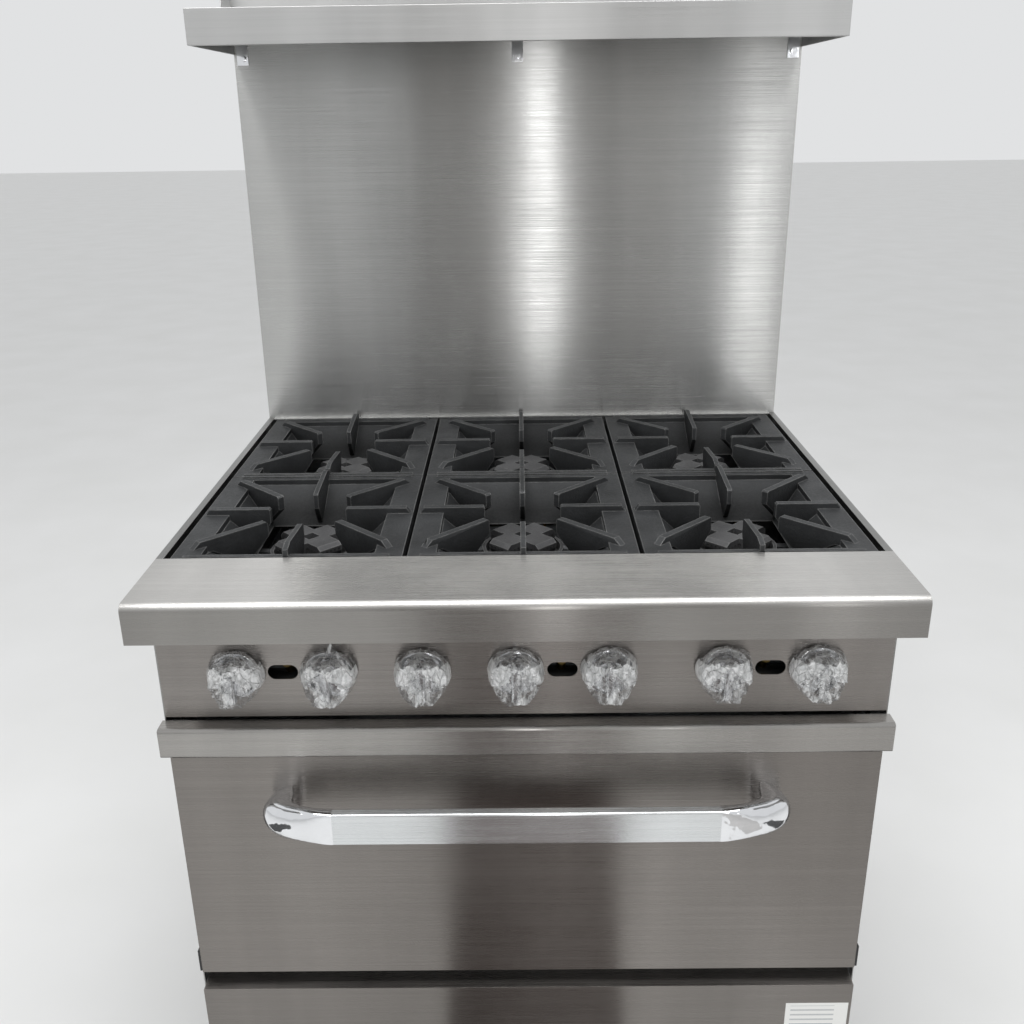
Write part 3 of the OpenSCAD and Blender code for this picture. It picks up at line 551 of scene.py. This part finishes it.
def film_height(u, w):
    """Height above the panel of film stretched over a knob's grip."""
    beside = max(abs(u) - GRIP_HALF_WIDTH, 0)
    beyond = max(abs(w) - GRIP_HALF_LENGTH, 0) * 2.6
    return max(FILM_CREST - 0.95 * math.hypot(beside, beyond), 12 - 0.2 * abs(u))


def film_edge(angle, lobe, lean):
    """The film's radius at an angle round the knob: drawn in above, and down to a point below."""
    down = max(0.0, -math.sin(angle + math.radians(lean)))
    up = max(0.0, math.sin(angle))
    return FILM_RADIUS + 1.6 * lobe + 7.5 * down ** 14 - 2.0 * up ** 4 - 2.0 * down ** 2


def film_folds(u, w, where, lean, twist, pleats):
    """Height of crumpled cells, which give way to pleats fanning out below the grip's middle."""
    near, far = noise.voronoi(where)[0][:2]
    crumple = max(-1.5, FOLD_HEIGHT * (far - near) - 2.0 + 2.4 * noise.noise(where * 2.7))
    fan = math.atan2(u - lean, PLEAT_TOP - w)
    reach = min(1.0, math.hypot(u - lean, PLEAT_TOP - w) / 16)
    gather = max(0.0, min(1.0, (12 - w) / 16)) * reach
    pleat = abs(math.sin(fan * pleats + twist)) - 0.4
    return crumple * (1 - 0.7 * gather) + PLEAT_HEIGHT * gather * pleat


def wing_line(u, lean):
    """Where the upper folds, painted bright as a highlight, end: an upturned V over the grip."""
    return max(25 - 1.3 * abs(u - lean), -2 - 0.15 * abs(u))


def film_ridge(u, w, lean):
    """Nearly 1 along two sharp ridges: the wing line, and a V that closes below the knob."""
    from_v = abs(w + 41 - 1.09 * abs(u - lean))
    from_wing = abs(w - wing_line(u, lean))
    return max(0.0, 1 - from_v / RIDGE_WIDTH) + max(0.0, 1 - from_wing / RIDGE_WIDTH)


def in_painted_highlight(u, w, lean, jag):
    return wing_line(u, lean) - 2 + jag < w < 26 - 0.010 * u ** 2 + jag


def knob_film(name, seed):
    """Clear film pulled over a knob and gathered in pleats to a point below it."""
    steps, rows = 120, 30
    rng = random.Random(seed)
    c = knob_centre(name)
    shift = Vector((rng.uniform(0, 50) for _ in range(3)))
    lean = rng.uniform(-3, 3)
    pleats = rng.uniform(6.5, 8.5)
    rings = []
    for k in range(1, rows + 1):
        t = (k / rows) ** 0.85
        hem = min(1.0, (1 - t) / 0.14) ** 0.5
        ring = []
        for i in range(steps):
            a = 2 * math.pi * i / steps
            lobe = noise.noise(Vector((math.cos(a) * 2.2, math.sin(a) * 2.2, 0)) + shift)
            edge = film_edge(a, lobe, lean)
            u, w = edge * t * math.cos(a), edge * t * math.sin(a)
            folds = film_folds(u, w, Vector((u, w, 0)) * 0.10 + shift, lean, lobe * 2, pleats)
            folds += 1.5 + RIDGE_HEIGHT * film_ridge(u, w, lean)
            height = film_height(u, w) * (0.25 + 0.75 * hem) + folds * hem
            ring.append(on_knob(c, u, w, max(height, HEM_HEIGHT)))
        rings.append(ring)
    bm = bmesh.new()
    made = ring_faces(bm, rings)
    bm.faces.new(made[0])
    if name == "knob_2":
        bm.faces.new([bm.verts.new(on_knob(c, *point)) for point in LOOSE_TAIL])
    for face in bm.faces:
        spot = (face.calc_center_median() - c) / MM
        jag = 7 * noise.noise(Vector((spot.x, spot.z, 0)) * 0.16 + shift)
        # the upper folds take the lit copy of the film, a painted highlight
        face.material_index = int(in_painted_highlight(spot.x, spot.z, lean, jag))
    obj = new_piece(name + "_film", bm, film, highlight_film, smooth_below=20)
    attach(obj, body_of_node(name))


for index, name in enumerate(KNOBS):
    chrome_knob(name)
    knob_film(name, 11 + index)


# ---------- Handle elbows ----------

LIMB = 33 * MM  # from an elbow's outer face to its inner face
BEND_DEPTH = 27 * MM  # from the door to where the bend ends
FOOT_INSET = 10 * MM  # how far the foot on the door stands in from the elbow's widest point
INNER_ROLL = 3 * MM


def elbow_stations(x0, reach, front, back, bar_back):
    """Outer and inner points, in plan, from the bar's end round the bend to the foot on the door."""
    bend = back - BEND_DEPTH
    stations = []
    for a in (math.radians(6 * i) for i in range(16)):
        outer = (x0 + reach * math.sin(a), bend + (front - bend) * math.cos(a))
        inner = (x0 + (reach - LIMB) * math.sin(a), bend + (bar_back - bend) * math.cos(a))
        stations.append((outer, inner))
    root = x0 + reach - FOOT_INSET
    for out, inside, lift in ((6.5, 22, 13), (2, 20, 4), (0, 19, 0)):
        y = back - lift * MM
        stations.append(((root + out * MM, y), (root - inside * MM, y)))
    return stations


def elbow_ring(outer, inner, half, full):
    """A section of the elbow, from half below to half above the bar's middle, rolled at its inner corners.

    Its outer face bulges between two rims: not at all where full is 0, at the bar, and wholly where it is 1.
    """
    across = (outer - inner).normalized()
    up = Vector((0, 0, 1))
    sink = -8 * full
    ring = []
    for q in (math.radians(a) for a in range(-90, 91, 12)):
        swell = full * (13.5 * math.cos(q) - 8)
        ring.append(outer + across * swell * MM + up * (half - 2.4 * MM) * math.sin(q))
    for step, drop in ((1.2, 1.2), (5.5, 0.1), (6.5, 0)):
        ring.append(outer + across * (sink - step) * MM + up * (half - drop * MM))
    for sign, angles in ((1, (90, 60, 30, 0)), (-1, (0, 30, 60, 90))):
        for q in (math.radians(a) for a in angles):
            rim = up * (half - INNER_ROLL * (1 - math.sin(q)))
            ring.append(inner + across * INNER_ROLL * (1 - math.cos(q)) + sign * rim)
    for step, drop in ((6.5, 0), (1.2, 1.2)):
        ring.append(outer + across * (sink - step) * MM - up * (half - drop * MM))
    return ring


def elbow(side):
    """A polished elbow from the end of the bar round to the door, with a bulging outer face."""
    bar_low, bar_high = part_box("handle_bar")
    low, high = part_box("handle_brackets")
    x0 = bar_high.x
    half = (high.z - low.z) / 2
    mid = (high.z + low.z) / 2
    rings = []
    for step, (outer, inner) in enumerate(elbow_stations(x0, high.x - x0, low.y, high.y, bar_high.y)):
        rise = min(1.0, step / 7)
        full = rise * rise * (3 - 2 * rise)
        ring = elbow_ring(Vector((*outer, mid)), Vector((*inner, mid)), half, full)
        rings.append([Vector((side * p.x, p.y, p.z)) for p in ring])
    bm = bmesh.new()
    ring_solid(bm, rings)
    obj = new_piece("handle_elbow_" + ("left" if side < 0 else "right"), bm, elbow_chrome)
    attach(obj, "oven_door")
    return obj


elbows = [elbow(-1), elbow(1)]
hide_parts("handle_brackets")


# ---------- Burner ports ----------

PORT_BASE, PORT_MOUTH = 1.7 * MM, 1.5 * MM
PORT_DEPTH = 0.8 * MM
PORT_DROP = 8.5 * MM  # below the burner's top


def port_places():
    """Each port of one lobe that points along +X: its x and y in mm, and the way it faces."""
    ends = [(47, y, Vector((1, 0, 0))) for y in (-13, -6.5, 0, 6.5, 13)]
    flanks = [(x, side * 18, Vector((0, side, 0))) for side in (-1, 1) for x in (20, 27, 34, 41)]
    return ends + flanks


def burner_ports(place):
    """Black cones along the edges of the four lobes of each burner in the front or rear row, painted shade
    standing in for the dark port holes.
    """
    row = place + "_burners"
    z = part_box(row)[1].z - PORT_DROP
    bm = bmesh.new()
    for column in ("left", "center", "right"):
        grate_low, grate_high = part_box(f"grate_{place}_{column}")
        middle = (grate_low + grate_high) / 2
        for quarter in range(4):
            turn = Matrix.Rotation(math.radians(45 + 90 * quarter), 3, "Z")
            for x, y, out in port_places():
                spot = turn @ Vector((x * MM, y * MM, 0)) + Vector((middle.x, middle.y, z))
                facing = (turn @ out).to_track_quat("Z", "Y").to_matrix().to_4x4()
                bmesh.ops.create_cone(bm, cap_ends=True, segments=8, radius1=PORT_BASE, radius2=PORT_MOUTH,
                                      depth=PORT_DEPTH, matrix=Matrix.Translation(spot) @ facing)
    # black cones stand in for the port holes: painted shade for their dark insides
    obj = new_piece(row + "_port_shade", bm, black)
    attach(obj, body_of_node(row))


for place in ("front", "rear"):
    burner_ports(place)


# ---------- Door springs ----------

WIRE = 1.6 * MM
COIL_RADIUS = 7.4 * MM
COIL_TURNS = 58
STEPS_A_TURN = 12


def spring_path(low, high, side):
    """The wire's centre line: the front hook, the coil's turns and the rear end."""
    x = side * (max(abs(low.x), abs(high.x)) - COIL_RADIUS - WIRE)
    z = (low.z + high.z) / 2
    start, end = low.y + 50 * MM, high.y - 35 * MM
    path = [
        Vector((x - side * 8 * MM, low.y + 2 * MM, z)), Vector((x - side * 4 * MM, low.y + 1.5 * MM, z)),
        Vector((x, low.y + 4 * MM, z)), Vector((x, start - 8 * MM, z)),
        Vector((x, start - 2 * MM, z + COIL_RADIUS * 0.6)),
    ]
    steps = COIL_TURNS * STEPS_A_TURN
    for i in range(steps + 1):
        a = math.pi / 2 + 2 * math.pi * i / STEPS_A_TURN
        y = start + (end - start) * i / steps
        path.append(Vector((x + COIL_RADIUS * math.cos(a), y, z + COIL_RADIUS * math.sin(a))))
    path += [
        Vector((x, end + 4 * MM, z + COIL_RADIUS * 0.5)), Vector((x, end + 10 * MM, z)),
        Vector((x, high.y - 1.6 * MM, z)),
    ]
    return path, path[3], Vector((x, low.y + 5 * MM, z))


def wire_rings(path, sides=6):
    """Rings of points round a path, square to it."""
    rings = []
    for i, p in enumerate(path):
        along = (path[min(i + 1, len(path) - 1)] - path[max(i - 1, 0)]).normalized()
        turn = along.to_track_quat("Z", "Y").to_matrix()
        round_it = (2 * math.pi * k / sides for k in range(sides))
        rings.append([p + turn @ Vector((WIRE * math.cos(q), WIRE * math.sin(q), 0)) for q in round_it])
    return rings


def coil_spring(name):
    """An extension spring with close turns and a hook at each end."""
    low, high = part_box(name)
    side = 1 if low.x > 0 else -1
    path, coil_front, hook = spring_path(low, high, side)
    bm = bmesh.new()
    ring_solid(bm, wire_rings(path))
    obj = new_piece(name + "_coil", bm, spring_wire, smooth_below=60)
    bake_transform(obj)
    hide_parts(name)


for name in ("door_spring_left", "door_spring_right"):
    coil_spring(name)


# ---------- Blank label ----------

LABEL_WIDTH, LABEL_HEIGHT = 86.7 * MM, 59.2 * MM
LABEL_INSET, LABEL_DROP = 4 * MM, 31.8 * MM  # from the kick plate's right and top edges
LABEL_THICKNESS = 0.25 * MM


def kick_label():
    """A paper label without print at the right end of the kick plate."""
    plate_low, plate_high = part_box("kick_plate")
    right, top, face = plate_high.x - LABEL_INSET, plate_high.z - LABEL_DROP, plate_low.y
    low = Vector((right - LABEL_WIDTH, face - LABEL_THICKNESS, top - LABEL_HEIGHT))
    high = Vector((right, face + 0.05 * MM, top))
    bm = bmesh.new()
    rounded_block(bm, low, high, 0.08 * MM, 1)
    obj = new_piece("blank_label", bm, paper_label("label_paper", low, high), smooth_below=None)
    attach(obj, "cabinet")


kick_label()


# ---------- Light and floor ----------

FLOOR_CARD_Z = 0.012
SIDE_CARD_Z = 0.02
WALL_CARD_Y, WALL_CARD_TOP = -3.3, 2.4
FLOOR_REACH = 30


def area_light(name, place, aim, size, power):
    data = bpy.data.lights.new(name, "AREA")
    data.shape = "RECTANGLE"
    data.size, data.size_y = size
    data.energy = power
    lamp = bpy.data.objects.new(name, data)
    lamp.location = place
    lamp.rotation_euler = (Vector(aim) - Vector(place)).to_track_quat("-Z", "Y").to_euler()
    lamp.visible_camera = False
    bpy.context.collection.objects.link(lamp)


def matt(name, roughness, scale, detail, dark, light):
    """A matt finish that drifts between two tones."""
    sh = Shader(name, roughness=roughness)
    sh.feed("Base Color", sh.mix(sh.spread(sh.noise((scale, scale, scale), detail), 0, 1), dark, light))
    return sh.material


def card(name, corners, tone):
    """A flat matt card that is only seen in reflections."""
    bm = bmesh.new()
    bm.faces.new([bm.verts.new(p) for p in corners])
    obj = new_object(name, bm, matt(name, 0.9, 2, 3, tone, shade(tone, 1.3)))
    obj.visible_camera = False
    obj.visible_shadow = False
    obj.visible_diffuse = False


def floor_card(name, z, outline, tone):
    card(name, [(x, y, z) for x, y in outline], tone)


def wall_card(name, left, right, tone):
    """A card that stands behind the camera's place and faces the range."""
    y, top = WALL_CARD_Y, WALL_CARD_TOP
    card(name, [(left, y, 0.0), (right, y, 0.0), (right, y, top), (left, y, top)], tone)


def lamps():
    """A soft ceiling light, and two narrow lamps whose streaks run down the riser."""
    area_light("ceiling_softbox", (0, -0.7, 3.2), (0, -0.3, 0.9), (2.6, 1.2), 62)
    area_light("streak_lamp", (0.10, -3.1, 0.86), (0.10, 0.35, 0.86), (0.06, 1.5), 3.2)
    area_light("right_lamp", (1.14, -3.0, 0.95), (0.40, 0.35, 0.95), (0.13, 1.5), 1.4)


def cards():
    """Grey cards that give the steel its dark and pale bands."""
    centre = [(-0.13, -0.45), (0.15, -0.45), (0.20, -1.2), (0.45, -2.6), (-0.40, -2.6), (-0.16, -1.2)]
    right = [(0.50, -0.8), (0.70, -0.8), (0.95, -1.3), (1.3, -2.2), (0.9, -2.5), (0.34, -1.9), (0.46, -1.5)]
    beside = [(-1.0, -0.3), (-0.72, -0.3), (-1.0, -1.3), (-1.5, -1.3)]
    floor_card("floor_flag", FLOOR_CARD_Z, centre, (0.09, 0.07, 0.065))
    floor_card("floor_flag_right", FLOOR_CARD_Z, right, (0.40, 0.39, 0.38))
    floor_card("side_flag_left", SIDE_CARD_Z, beside, (0.05, 0.05, 0.05))
    floor_card("side_flag_right", SIDE_CARD_Z, [(-x, y) for x, y in beside], (0.05, 0.05, 0.05))
    wall_card("wall_flag", -0.56, 0.02, (0.36, 0.35, 0.34))
    wall_card("wall_flag_right", 0.2, 0.85, (0.45, 0.44, 0.43))


def pale_floor():
    bm = bmesh.new()
    bmesh.ops.create_grid(bm, x_segments=1, y_segments=1, size=FLOOR_REACH)
    paint = matt("floor_paint", 0.7, 3, 4, (0.74, 0.74, 0.73), (0.78, 0.78, 0.775))
    new_object("floor", bm, paint)


def studio():
    """A pale, even surround with a soft light above and two narrow lamps in front."""
    world = bpy.data.worlds.new("studio")
    bpy.context.scene.world = world
    world.use_nodes = True
    sky = world.node_tree.nodes["Background"]
    sky.inputs["Color"].default_value = (0.94, 0.95, 0.96, 1)
    sky.inputs["Strength"].default_value = 0.80
    lamps()
    cards()
    pale_floor()
    bpy.context.scene.view_settings.view_transform = "Standard"


studio()
